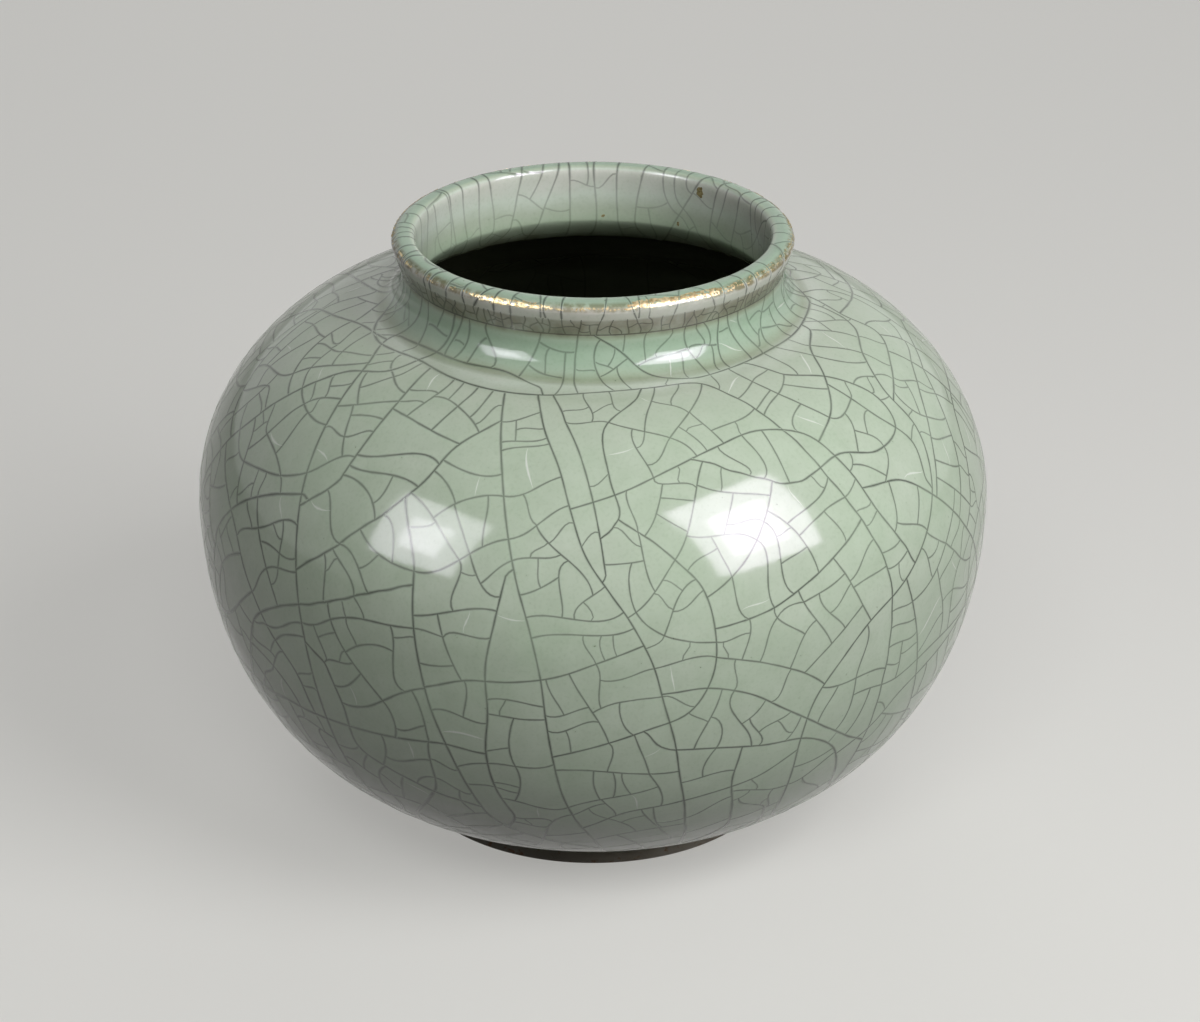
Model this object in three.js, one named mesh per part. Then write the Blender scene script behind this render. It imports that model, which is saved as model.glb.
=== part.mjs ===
// A wheel-thrown stoneware jar with a celadon glaze, worn gilding on its rolled lip and a bare foot ring.
// Sizes are in millimetres. The jar stands on z = 0 with its axis on Z, and outside sizes are over the glaze.
import * as THREE from 'three';

// Belly and shoulder, from the widest circle up to the ridge at the root of the neck
const bellyRadius = 110;
const bellyHeight = 92.5;
const ridgeRadius = 60.3;
const shoulderRise = 55.9;
const shoulderSlope = THREE.MathUtils.degToRad(8);
const shoulderReachShares = { atBelly: 0.5, atRidge: 0.516 };

// Bowl, from the widest circle down to the edge of the glaze above the foot ring
const glazeEdgeHeight = 6.5;
const bowlSlope = THREE.MathUtils.degToRad(20);
const bowlReachShares = { atBelly: 0.567, atEdge: 0.59 };

// Neck: a hollow cove from the ridge to the waist, then a short upright step under the lip
const waistRadius = 52.3;
const coveRise = 8.6;
const coveReachShares = { alongRidge: 0.625, liftAtRidge: 0.03, belowWaist: 0.52 };
const stepRise = 2.4;

// Rolled lip: a flared underside, a rounded roll outside, and a squarer roll into the mouth
const lipEdgeRadius = 54.2;
const lipEdgeRise = 5;
const lipRadius = 54.8;
const lipSideRise = 2;
const crestRadius = 51.5;
const crestRise = 2.7;
const mouthRadius = 48.2;
const mouthBevelDepth = 4.6;
const bevelReachShares = { acrossCrest: 0.85, alongWall: 0.88 };
const mouthWallLength = 11.5;

// Inside, over the glaze: the throat widens under the shoulder, and the floor of the jar is flat
const throatRadius = 57;
const throatDrop = 8.5;
const throatSlope = THREE.MathUtils.degToRad(15);
const throatReachShares = { alongWall: 0.18, underShoulder: 0.34 };
const wallThickness = 6;
const floorThickness = 7;
const floorRadius = 36;

// Foot ring, bare clay, and the coats
const footRadius = 53;
const footFlare = 0.5;
const footWidth = 7;
const footChamfer = 0.7;
const glazeThickness = 0.7;
const gildingThickness = 0.2;
const gildingBottomAngle = THREE.MathUtils.degToRad(20);
const gildingTopAngle = THREE.MathUtils.degToRad(58);

// Clearances: between a coat and the clay, and between the gilding and the glaze
const fitGap = 0.3;
const gildingGap = 0.1;

// Facets round the axis and along each curve of the outline
const facetsRound = 40;
const facetsBody = 8;
const facetsNeck = 4;
const facetsBand = 2;

// Heights and radii that follow from the sizes above
const ridgeHeight = bellyHeight + shoulderRise;
const waistHeight = ridgeHeight + coveRise;
const stepHeight = waistHeight + stepRise;
const lipEdgeHeight = stepHeight + lipEdgeRise;
const lipSideHeight = lipEdgeHeight + lipSideRise;
const crestHeight = lipSideHeight + crestRise;
const mouthWallTop = crestHeight - mouthBevelDepth;
const mouthWallBottom = mouthWallTop - mouthWallLength;
const mouthSeamHeight = (mouthWallTop + mouthWallBottom) / 2;
const throatHeight = mouthWallBottom - throatDrop;
const coatDepth = glazeThickness + fitGap;
const collarHeight = ridgeHeight - coatDepth;
const glazeEdgeRadius = footRadius + footFlare + fitGap;

// A curve from one [radius, height] point to another, pulled towards two handles.
function curve(start, startHandle, endHandle, end, facets) {
  const corners = [start, startHandle, endHandle, end].map(([radius, height]) => new THREE.Vector2(radius, height));
  return new THREE.CubicBezierCurve(...corners).getPoints(facets);
}

// A quarter of the round body, which leaves the belly upright and arrives at its end on a slope.
function bodyQuarter(beltRadius, end, slope, rise, shares, facets) {
  const [beltShare, endShare] = shares;
  const side = Math.sign(rise);
  const endReach = endShare * (beltRadius - end[0]);
  return curve(
    [beltRadius, bellyHeight],
    [beltRadius, bellyHeight + beltShare * rise],
    [end[0] + endReach * Math.cos(slope), end[1] - side * endReach * Math.sin(slope)],
    end,
    facets,
  );
}

// The glazed surface as one line: from the edge of the glaze at the foot, up over the lip, to the floor inside.
const bowlOutside = bodyQuarter(
  bellyRadius,
  [glazeEdgeRadius, glazeEdgeHeight],
  bowlSlope,
  glazeEdgeHeight - bellyHeight,
  [bowlReachShares.atBelly, bowlReachShares.atEdge],
  facetsBody,
).reverse();

const shoulderOutside = bodyQuarter(
  bellyRadius,
  [ridgeRadius, ridgeHeight],
  shoulderSlope,
  shoulderRise,
  [shoulderReachShares.atBelly, shoulderReachShares.atRidge],
  facetsBody,
);

const cove = curve(
  [ridgeRadius, ridgeHeight],
  [
    ridgeRadius - coveReachShares.alongRidge * (ridgeRadius - waistRadius),
    ridgeHeight + coveReachShares.liftAtRidge * coveRise,
  ],
  [waistRadius, waistHeight - coveReachShares.belowWaist * coveRise],
  [waistRadius, waistHeight],
  facetsNeck,
);

// The roll is a quarter of an ellipse between the side of the lip and its crest.
function rollPoint(angle) {
  const acrossRoll = lipRadius - crestRadius;
  return new THREE.Vector2(
    crestRadius + acrossRoll * Math.cos(angle),
    lipSideHeight + crestRise * Math.sin(angle),
  );
}

const gildedRoll = Array.from({ length: facetsBand + 1 }, (_, i) =>
  rollPoint(THREE.MathUtils.lerp(gildingBottomAngle, gildingTopAngle, i / facetsBand)));
const lipRoll = [rollPoint(0), ...gildedRoll, rollPoint(Math.PI / 2)];

const lipOutside = [
  new THREE.Vector2(waistRadius, stepHeight),
  new THREE.Vector2(lipEdgeRadius, lipEdgeHeight),
  ...lipRoll,
];

const mouthBevel = curve(
  [crestRadius, crestHeight],
  [crestRadius - bevelReachShares.acrossCrest * (crestRadius - mouthRadius), crestHeight],
  [mouthRadius, mouthWallTop + bevelReachShares.alongWall * mouthBevelDepth],
  [mouthRadius, mouthWallTop],
  facetsNeck,
);

const throatReach = throatReachShares.underShoulder * (throatRadius - mouthRadius);

const throat = curve(
  [mouthRadius, mouthWallBottom],
  [mouthRadius, mouthWallBottom - throatReachShares.alongWall * throatDrop],
  [
    throatRadius - throatReach * Math.cos(throatSlope),
    throatHeight + throatReach * Math.sin(throatSlope),
  ],
  [throatRadius, throatHeight],
  facetsNeck,
);

const innerBeltRadius = bellyRadius - wallThickness;

const shoulderInside = bodyQuarter(
  innerBeltRadius,
  [throatRadius, throatHeight],
  throatSlope,
  throatHeight - bellyHeight,
  [shoulderReachShares.atBelly, shoulderReachShares.atRidge],
  facetsBody,
).reverse();

const floorHeight = glazeEdgeHeight + coatDepth + floorThickness;

const bowlInside = bodyQuarter(
  innerBeltRadius,
  [floorRadius, floorHeight],
  0,
  floorHeight - bellyHeight,
  [bowlReachShares.atBelly, bowlReachShares.atEdge],
  facetsBody,
);

const glazedOutside = [
  ...bowlOutside,
  ...shoulderOutside.slice(1),
  ...cove.slice(1),
  ...lipOutside,
  ...mouthBevel.slice(1),
  new THREE.Vector2(mouthRadius, mouthSeamHeight),
];

const glazedInside = [
  new THREE.Vector2(mouthRadius, mouthSeamHeight),
  ...throat,
  ...shoulderInside.slice(1),
  ...bowlInside.slice(1),
  new THREE.Vector2(0, floorHeight),
];

const glazedLine = [...glazedOutside, ...glazedInside.slice(1)];
const seamIndex = glazedOutside.length - 1;

// The line moved into the clay by a depth, with its corners mitred. Its last point stays on the axis.
function sunk(line, depth) {
  const ways = line.slice(1).map((point, i) => point.clone().sub(line[i]).normalize());
  return line.map((point, i) => {
    const before = ways[Math.max(i - 1, 0)];
    const after = ways[Math.min(i, ways.length - 1)];
    const way = before.clone().add(after).normalize();
    const mitre = depth / way.dot(after);
    return new THREE.Vector2(point.x - mitre * way.y, point.y + mitre * way.x);
  });
}

// A closed outline revolved about Z. Its points run anticlockwise with the radius to the right.
function revolved(name, outline, look) {
  const closed = [...outline, outline[0]];
  const geometry = new THREE.LatheGeometry(closed, facetsRound);
  geometry.rotateX(Math.PI / 2);
  const mesh = new THREE.Mesh(geometry, new THREE.MeshStandardMaterial(look));
  mesh.name = name;
  return mesh;
}

// The stretch of a rising line between two heights, with new ends cut exactly at them.
function between(line, low, high) {
  const cutAt = (height) => {
    const i = line.findIndex((point, k) => k > 0 && line[k - 1].y <= height && point.y >= height);
    const share = (height - line[i - 1].y) / (line[i].y - line[i - 1].y);
    return new THREE.Vector2(line[i - 1].x + share * (line[i].x - line[i - 1].x), height);
  };
  const kept = line.filter((point) => point.y > low && point.y < high);
  return [cutAt(low), ...kept, cutAt(high)];
}

// Clay lies under the coat. Its line splits at the crest into an outer and an inner side, which both rise.
const clayLine = sunk(glazedLine, coatDepth);
const coatLine = sunk(glazedLine, glazeThickness);
const crestIndex = clayLine.reduce((best, point, i) => (point.y > clayLine[best].y ? i : best), 0);
const clayOutside = clayLine.slice(0, crestIndex + 1);
const clayInside = clayLine.slice(crestIndex, -1).reverse();
const seatHeight = clayOutside[0].y;
const seatRadius = clayOutside[0].x;
const clayFloorHeight = clayInside[0].y;
const clayCrestHeight = clayLine[crestIndex].y;

const clayLook = { color: 0x9a8f80, roughness: 0.9, metalness: 0 };
const glazeLook = { color: 0xc3cfc0, roughness: 0.12, metalness: 0 };
const goldLook = { color: 0xb08a3c, roughness: 0.35, metalness: 1 };

// Lower bowl: thrown with the floor of the jar, flat underneath where the foot ring sits.
function makeLowerBody() {
  const outside = between(clayOutside, seatHeight, bellyHeight);
  const inside = between(clayInside, clayFloorHeight, bellyHeight).reverse();
  const outline = [
    new THREE.Vector2(0, seatHeight),
    ...outside,
    ...inside,
    new THREE.Vector2(0, clayFloorHeight),
  ];
  return revolved('lower_body', outline, clayLook);
}

// Shoulder half: luted rim to rim on the bowl at the belly, open at the top for the neck.
function makeUpperBody() {
  const outside = between(clayOutside, bellyHeight, collarHeight);
  const inside = between(clayInside, bellyHeight, collarHeight).reverse();
  return revolved('upper_body', [...outside, ...inside], clayLook);
}

// Neck and lip core: seated flat on the shoulder along the ridge.
function makeNeckCollar() {
  const outside = between(clayOutside, collarHeight, clayCrestHeight);
  const inside = between(clayInside, collarHeight, clayCrestHeight).reverse();
  return revolved('neck_collar', [...outside, ...inside.slice(1)], clayLook);
}

// Foot ring: luted flat under the bowl, its wall flared a little and both lower edges chamfered.
const footTopRadius = Math.min(footRadius + footFlare, seatRadius);

function makeFootRing() {
  const innerRadius = footRadius - footWidth;
  const outline = [
    new THREE.Vector2(innerRadius + footChamfer, 0),
    new THREE.Vector2(footRadius - footChamfer, 0),
    new THREE.Vector2(footRadius, footChamfer),
    new THREE.Vector2(footTopRadius, seatHeight),
    new THREE.Vector2(innerRadius - footFlare, seatHeight),
    new THREE.Vector2(innerRadius, footChamfer),
  ];
  return revolved('foot_ring', outline, clayLook);
}

// Base glaze: a disc in the recess of the foot, flat against the underside of the bowl.
function makeBaseGlaze() {
  const edgeRadius = footRadius - footWidth - footFlare - fitGap;
  const outline = [
    new THREE.Vector2(0, seatHeight - glazeThickness),
    new THREE.Vector2(edgeRadius - glazeThickness, seatHeight - glazeThickness),
    new THREE.Vector2(edgeRadius, seatHeight),
    new THREE.Vector2(0, seatHeight),
  ];
  return revolved('base_glaze', outline, glazeLook);
}

// Outer glaze: a coat from its edge at the foot, up over the lip and a little way down the mouth.
function makeOuterGlaze() {
  const back = coatLine.slice(0, seamIndex + 1).reverse();
  return revolved('outer_glaze', [...glazedOutside, ...back], glazeLook);
}

// Inner glaze: poured, it lines the jar from the floor up to the outer coat, which it meets in the mouth.
function makeInnerGlaze() {
  const back = coatLine.slice(seamIndex).reverse();
  return revolved('inner_glaze', [...glazedInside, ...back], glazeLook);
}

// Lip gilding: a thin band round the outer edge of the roll.
function makeLipGilding() {
  const outer = sunk(lipRoll, -(gildingGap + gildingThickness)).slice(1, -1);
  const inner = sunk(lipRoll, -gildingGap).slice(1, -1);
  return revolved('lip_gilding', [...outer, ...inner.reverse()], goldLook);
}

const vase = new THREE.Group();
vase.add(
  makeFootRing(),
  makeLowerBody(),
  makeUpperBody(),
  makeNeckCollar(),
  makeBaseGlaze(),
  makeInnerGlaze(),
  makeOuterGlaze(),
  makeLipGilding(),
);

export default vase;
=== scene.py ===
"""A wheel-thrown stoneware jar with a crackled celadon glaze and worn gilding on its rolled lip.

Lengths on the jar are written in millimetres and turned to metres where a mesh is made. The camera, the
lamps and the floor are placed in metres.
"""

import math

import bpy
import numpy as np
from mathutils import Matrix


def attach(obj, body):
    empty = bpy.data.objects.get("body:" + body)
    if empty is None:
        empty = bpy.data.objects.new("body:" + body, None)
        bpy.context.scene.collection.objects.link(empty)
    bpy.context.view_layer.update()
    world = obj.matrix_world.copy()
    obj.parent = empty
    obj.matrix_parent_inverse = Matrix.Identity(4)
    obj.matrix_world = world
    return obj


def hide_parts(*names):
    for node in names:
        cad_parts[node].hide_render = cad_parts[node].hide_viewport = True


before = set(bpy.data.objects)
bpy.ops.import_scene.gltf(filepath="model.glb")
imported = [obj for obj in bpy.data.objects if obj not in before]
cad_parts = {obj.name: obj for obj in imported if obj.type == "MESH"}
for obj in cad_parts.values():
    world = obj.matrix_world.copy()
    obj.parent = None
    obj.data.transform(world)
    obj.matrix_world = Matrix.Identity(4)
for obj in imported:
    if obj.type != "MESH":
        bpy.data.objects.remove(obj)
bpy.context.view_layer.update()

# Foot ring
# The bare ring that the jar stands on: stoneware, turned on the wheel when leather hard, wiped clean
# of glaze and luted under the bowl. Its lower edges are worn round.

MILLIMETRE = 0.001
foot_radius = 53.0
foot_width = 7.0
foot_flare = 0.5
foot_height = 7.4
foot_edge_round = 0.9
foot_columns = 240


def srgb(code):
    """A hex colour such as C3CFC0 as linear red, green, blue and alpha, each through the sRGB curve."""
    channels = np.array([int(code[i:i + 2], 16) for i in (0, 2, 4)]) / 255
    linear = np.where(channels <= 0.04045, channels / 12.92, ((channels + 0.055) / 1.055) ** 2.4)
    return (*linear, 1.0)


def add_node(owner, kind, inputs=None, **settings):
    """Adds a node to a material or the world, sets its properties, and fills its inputs or links them."""
    tree = owner.node_tree
    node = tree.nodes.new(kind)
    for name, value in settings.items():
        setattr(node, name, value)
    for name, value in (inputs or {}).items():
        if isinstance(value, bpy.types.NodeSocket):
            tree.links.new(value, node.inputs[name])
        else:
            node.inputs[name].default_value = value
    return node


def new_material(name):
    """An empty node material."""
    material = bpy.data.materials.new(name)
    material.use_nodes = True
    material.node_tree.nodes.clear()
    return material


def noise(material, size, detail, roughness=0.5):
    """A noise on the object's own coordinates, its patches about a size in millimetres across."""
    return add_node(material, "ShaderNodeTexNoise", {
        "Vector": add_node(material, "ShaderNodeTexCoord").outputs["Object"],
        "Scale": 1 / (size * MILLIMETRE),
        "Detail": detail,
        "Roughness": roughness,
    }).outputs["Fac"]


def ramp(material, factor, *stops):
    """A colour ramp over a factor, from (position, hex colour) stops."""
    node = add_node(material, "ShaderNodeValToRGB", {"Fac": factor})
    elements = node.color_ramp.elements
    while len(elements) < len(stops):
        elements.new(0.5)
    for element, (position, code) in zip(elements, stops):
        element.position = position
        element.color = srgb(code)
    return node.outputs["Color"]


def mixed(material, factor, one, other, blend="MIX"):
    """One colour taken towards another, or times it with MULTIPLY, as far as a factor says."""
    inputs = {"Factor": factor, 6: one, 7: other}
    return add_node(material, "ShaderNodeMix", inputs, data_type="RGBA", blend_type=blend).outputs[2]


def bump(material, height, strength, depth, below=None):
    """The normal over a bumpy height of a depth in millimetres, laid on the normal below if there is one."""
    inputs = {"Height": height, "Strength": strength, "Distance": depth * MILLIMETRE}
    if below is not None:
        inputs["Normal"] = below
    return add_node(material, "ShaderNodeBump", inputs).outputs["Normal"]


def end_in_surface(material, inputs):
    """Ends a material in a principled surface."""
    surface = add_node(material, "ShaderNodeBsdfPrincipled", inputs)
    add_node(material, "ShaderNodeOutputMaterial", {"Surface": surface.outputs["BSDF"]})


def put_in_scene(name, vertices, faces, material, sharp_angle=math.radians(40)):
    """A mesh from vertices in millimetres and faces, smooth up to its sharp edges, riding on the jar."""
    mesh = bpy.data.meshes.new(name)
    mesh.from_pydata((vertices * MILLIMETRE).tolist(), [], faces)
    mesh.polygons.foreach_set("use_smooth", np.full(len(mesh.polygons), True))
    mesh.materials.append(material)
    mesh.update()
    mesh.set_sharp_from_angle(angle=sharp_angle)
    piece = bpy.data.objects.new(name, mesh)
    bpy.context.scene.collection.objects.link(piece)
    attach(piece, "root")
    return piece


def unit(ways):
    """Ways brought to a length of 1."""
    return ways / np.linalg.norm(ways, axis=-1)[..., None]


def round_the_axis(radius, height, angle):
    """Points at a radius and a height, turned to an angle about the jar's axis."""
    sides = np.broadcast_arrays(radius * np.cos(angle), radius * np.sin(angle), height)
    return np.stack(sides, axis=-1)


def turn_outline(outline, columns):
    """Carries an outline of (radius, height) round the axis.

    Point (i, j) is radius_i at the angle 2 pi j / columns and height_i. An outline whose ends lie on the
    axis closes there in two poles, and any other closes on itself as a ring.
    """
    angle = np.linspace(0, 2 * math.pi, columns, endpoint=False)
    with_poles = outline[0, 0] == 0 and outline[-1, 0] == 0
    rings = outline[1:-1] if with_poles else outline
    vertices = round_the_axis(rings[:, :1], rings[:, 1:], angle).reshape(-1, 3)
    index = np.arange(len(vertices)).reshape(len(rings), columns)
    if not with_poles:
        index = np.vstack([index, index[:1]])
    across = np.roll(index, -1, axis=1)
    faces = np.stack([index[:-1], across[:-1], across[1:], index[1:]], axis=-1).reshape(-1, 4).tolist()
    if with_poles:
        first, last = (np.full(columns, len(vertices) + k) for k in (0, 1))
        vertices = np.vstack([vertices, [[0, 0, outline[0, 1]], [0, 0, outline[-1, 1]]]])
        faces += np.stack([first, across[0], index[0]], axis=-1).tolist()
        faces += np.stack([index[-1], across[-1], last], axis=-1).tolist()
    return vertices, faces


def rounded(outline, radius, steps=5):
    """A closed outline with each corner cut back by a radius and bridged by a quadratic curve."""
    outline = np.array(outline)
    start, end = (outline + unit(np.roll(outline, k, axis=0) - outline) * radius for k in (1, -1))
    t = np.linspace(0, 1, steps)[None, :, None]
    curve = start[:, None] * (1 - t) ** 2 + 2 * outline[:, None] * t * (1 - t) + end[:, None] * t ** 2
    return curve.reshape(-1, 2)


foot_inner = foot_radius - foot_width
foot_outline = rounded([
    (foot_inner, 0.0),
    (foot_radius, 0.0),
    (foot_radius + foot_flare, foot_height),
    (foot_inner - foot_flare, foot_height),
], foot_edge_round)

# Bare stoneware, turned and wiped: matt and a little gritty, a grey buff, with rusty freckles of iron.
# It gives the jar its only dry, dull edge.
bare_stoneware = new_material("bare stoneware, turned and wiped")
grit_size = 0.5
grit_depth = 0.15
freckle_size = 2.5
blotch_size = 18.0
blotches = noise(bare_stoneware, blotch_size, detail=3.0)
freckles = noise(bare_stoneware, freckle_size, detail=2.0)
grit = noise(bare_stoneware, grit_size, detail=2.0)
# The clay's colours are set darker than the fired clay of the body: partly painted shade, as the ring stands
# in the shadow of the bowl
clay_and_shade_colour = ramp(bare_stoneware, blotches, (0.3, "857C6D"), (0.7, "A0988A"))
freckle_mask = ramp(bare_stoneware, freckles, (0.62, "000000"), (0.72, "FFFFFF"))
end_in_surface(bare_stoneware, {
    "Base Color": mixed(bare_stoneware, freckle_mask, clay_and_shade_colour, srgb("7A5C40")),
    "Roughness": 0.85,
    "Normal": bump(bare_stoneware, grit, strength=0.5, depth=grit_depth),
})

foot_ring = put_in_scene("turned_foot_ring", *turn_outline(foot_outline, foot_columns), bare_stoneware)
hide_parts("foot_ring")

# Clay body
# The bowl, the shoulder and the neck are thrown stoneware, luted together while damp. The glaze hides
# them all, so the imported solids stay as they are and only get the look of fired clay.

# Fired stoneware under the glaze: dense grey buff clay with fine sand in it, matt where it would show
fired_stoneware = new_material("fired stoneware, thrown")
sand_size = 0.8
sand_depth = 0.2
sand = noise(fired_stoneware, sand_size, detail=3.0)
end_in_surface(fired_stoneware, {
    "Base Color": ramp(fired_stoneware, sand, (0.35, "8F8575"), (0.65, "A89E8E")),
    "Roughness": 0.9,
    "Normal": bump(fired_stoneware, sand, strength=0.4, depth=sand_depth),
})

for node_name in ("lower_body", "upper_body", "neck_collar"):
    for material_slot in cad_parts[node_name].material_slots:
        material_slot.material = fired_stoneware

# Outer glaze
# A feldspar glaze with a little iron, fired in reduction to a grey green. It runs from a rolled edge
# above the foot, over the lip and down into the mouth, and ends in the neck.

# The outline's turning points, each a radius and a height
glaze_edge = (53.8, 6.5)
belt = (110.0, 92.5)
ridge = (60.3, 148.4)
waist = (52.3, 157.0)
neck_corner = (52.3, 159.4)
lip_edge = (54.2, 164.4)
lip_side = (54.8, 166.4)
crest = (51.5, 169.1)
mouth_top = (48.2, 164.5)
mouth_seam = (48.2, 158.75)

# How far each curve's handles reach, as shares of the way between its ends
bowl_slope = math.radians(20)
bowl_shares = (0.567, 0.59)
shoulder_slope = math.radians(8)
shoulder_shares = (0.5, 0.516)
cove_shares = (0.625, 0.03, 0.52)
bevel_shares = (0.85, 0.88)

glaze_thickness = 0.7
crack_room = 0.05
rolled_edge = (0.25, 0.15)
body_columns = 384
back_step = 4


def bezier(start, start_handle, end_handle, end, count):
    """Points of the cubic curve from start to end, pulled towards its two handles."""
    t = np.linspace(0, 1, count)[:, None]
    a, b, c, d = (np.array(p, float) for p in (start, start_handle, end_handle, end))
    return a * (1 - t) ** 3 + 3 * b * t * (1 - t) ** 2 + 3 * c * t * t * (1 - t) + d * t ** 3


def body_quarter(widest, end, slope, shares, count):
    """The round body from upright at its widest point to an end that it reaches on a slope."""
    rise = end[1] - widest[1]
    reach = shares[1] * (widest[0] - end[0])
    end_handle = (end[0] + reach * math.cos(slope), end[1] - math.copysign(reach, rise) * math.sin(slope))
    return bezier(widest, (widest[0], widest[1] + shares[0] * rise), end_handle, end, count)


def joined(*parts):
    """Lines end to end, without the points they share."""
    return np.vstack([parts[0], *(part[1:] for part in parts[1:])])


def left_of(way):
    """Flat ways turned a quarter to the left."""
    return np.stack([-way[..., 1], way[..., 0]], axis=-1)


def sunk(line, depth):
    """A line moved to its left by a depth: each point goes along its own normal."""
    return line + depth * left_of(unit(np.gradient(line, axis=0)))


def roll_point(angle):
    """Points of the lip's outer roll, a quarter of an ellipse, at angles up from its side."""
    return np.stack([
        crest[0] + (lip_side[0] - crest[0]) * np.cos(angle),
        lip_side[1] + (crest[1] - lip_side[1]) * np.sin(angle),
    ], axis=-1)


cove_depth = ridge[0] - waist[0]
cove_rise = waist[1] - ridge[1]
glazed_outside = joined(
    body_quarter(belt, glaze_edge, bowl_slope, bowl_shares, 70)[::-1],
    body_quarter(belt, ridge, shoulder_slope, shoulder_shares, 60),
    bezier(
        ridge,
        (ridge[0] - cove_shares[0] * cove_depth, ridge[1] + cove_shares[1] * cove_rise),
        (waist[0], waist[1] - cove_shares[2] * cove_rise),
        waist,
        20,
    ),
    np.linspace(waist, neck_corner, 5),
    np.linspace(neck_corner, lip_edge, 9),
    np.linspace(lip_edge, lip_side, 5),
    roll_point(np.linspace(0, math.pi / 2, 16)),
    bezier(
        crest,
        (crest[0] - bevel_shares[0] * (crest[0] - mouth_top[0]), crest[1]),
        (mouth_top[0], mouth_top[1] + bevel_shares[1] * (crest[1] - mouth_top[1])),
        mouth_top,
        20,
    ),
    np.linspace(mouth_top, mouth_seam, 7),
)

# The glaze lies a hair under the full size, so that the stained cracks on it stay within the jar's box.
# Its back is hidden and keeps only some of the rows
glaze_face = sunk(glazed_outside, crack_room)
glaze_face[0] += rolled_edge
back_rows = np.append(np.arange(len(glazed_outside) - 1, 0, -back_step), 0)
outer_outline = np.vstack([glaze_face, sunk(glazed_outside, glaze_thickness)[back_rows]])

# How thick the glaze lies at points of its face: it pools in the hollow of the neck and on the lip, and
# runs thin off the ridge, the edges of the lip and the edge above the foot
thickness_stops = [
    (glaze_edge, -0.5), ((62.0, 10.0), 0.2), ((80.0, 24.0), 0.1), (belt, 0.0), ((80.0, 138.0), 0.0),
    ((66.0, 146.5), -0.1), (ridge, -0.5), ((57.0, 149.3), 0.25), ((54.0, 151.8), 0.75),
    ((52.3, 156.0), 0.8), ((52.3, 158.6), 0.2), (neck_corner, -0.5), ((53.3, 162.0), -0.75),
    (lip_edge, -0.9), (lip_side, -0.95), ((54.5, 167.6), -0.85), ((53.6, 168.4), 0.4),
    ((52.5, 169.0), 0.95), ((50.5, 169.05), 0.75), ((48.9, 168.6), -0.2), ((48.4, 167.6), -0.8),
    ((48.25, 165.8), -0.75), ((48.2, 163.0), -0.6), (mouth_seam, -0.3),
]

# Painted shade with some grime: the glaze is darkened under the lip, in the foot of the hollow, over the
# ridge and by the foot, where shade falls
soiling_stops = [
    (glaze_edge, 0.5), ((64.0, 12.0), 0.12), ((80.0, 24.0), 0.0), ((80.0, 138.0), 0.0),
    ((66.0, 146.5), 0.1), (ridge, 0.18), ((57.5, 149.2), 0.42), ((55.0, 150.6), 0.15),
    ((52.3, 154.0), 0.05), ((52.3, 157.5), 0.15), (neck_corner, 0.78), ((53.3, 162.0), 0.7),
    ((53.95, 163.8), 0.62), (lip_edge, 0.2), (lip_side, 0.03), (mouth_seam, 0.0),
]

# How much size of the worn leaf still shows, by the angle from the front towards the right, in degrees
gilding_size_by_side = [
    (-180, 0.25), (-120, 0.4), (-90, 1.2), (-35, 1.1), (-28, 0.35), (-14, 0.35), (-8, 0.9), (10, 0.85),
    (16, 0.35), (30, 0.45), (42, 1.1), (75, 1.25), (120, 0.35), (180, 0.25),
]


def running(steps):
    """The running sum of steps, from 0."""
    return np.concatenate([[0], np.cumsum(steps)])


def along(line):
    """The distance from a line's start to each of its points."""
    return running(np.linalg.norm(np.diff(line, axis=0), axis=1))


def value_along(line, stops):
    """A value at each point of a line: each stop sits at the nearest point, with straight runs between."""
    reach = along(line)
    spots = np.array([spot for spot, _ in stops])
    nearest = np.linalg.norm(line[None] - spots[:, None], axis=2).argmin(axis=1)
    return np.interp(reach, reach[nearest], [value for _, value in stops])


def to_the_right(turn):
    """An angle about the axis as degrees from the front towards the right, within half a turn."""
    return np.mod(np.degrees(turn) + 90 + 180, 360) - 180


def write_value(piece, name, values):
    """A number for each vertex of a piece, which its material reads by name."""
    attribute = piece.data.attributes.new(name, "FLOAT", "POINT")
    attribute.data.foreach_set("value", np.asarray(values, np.float32))


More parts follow.
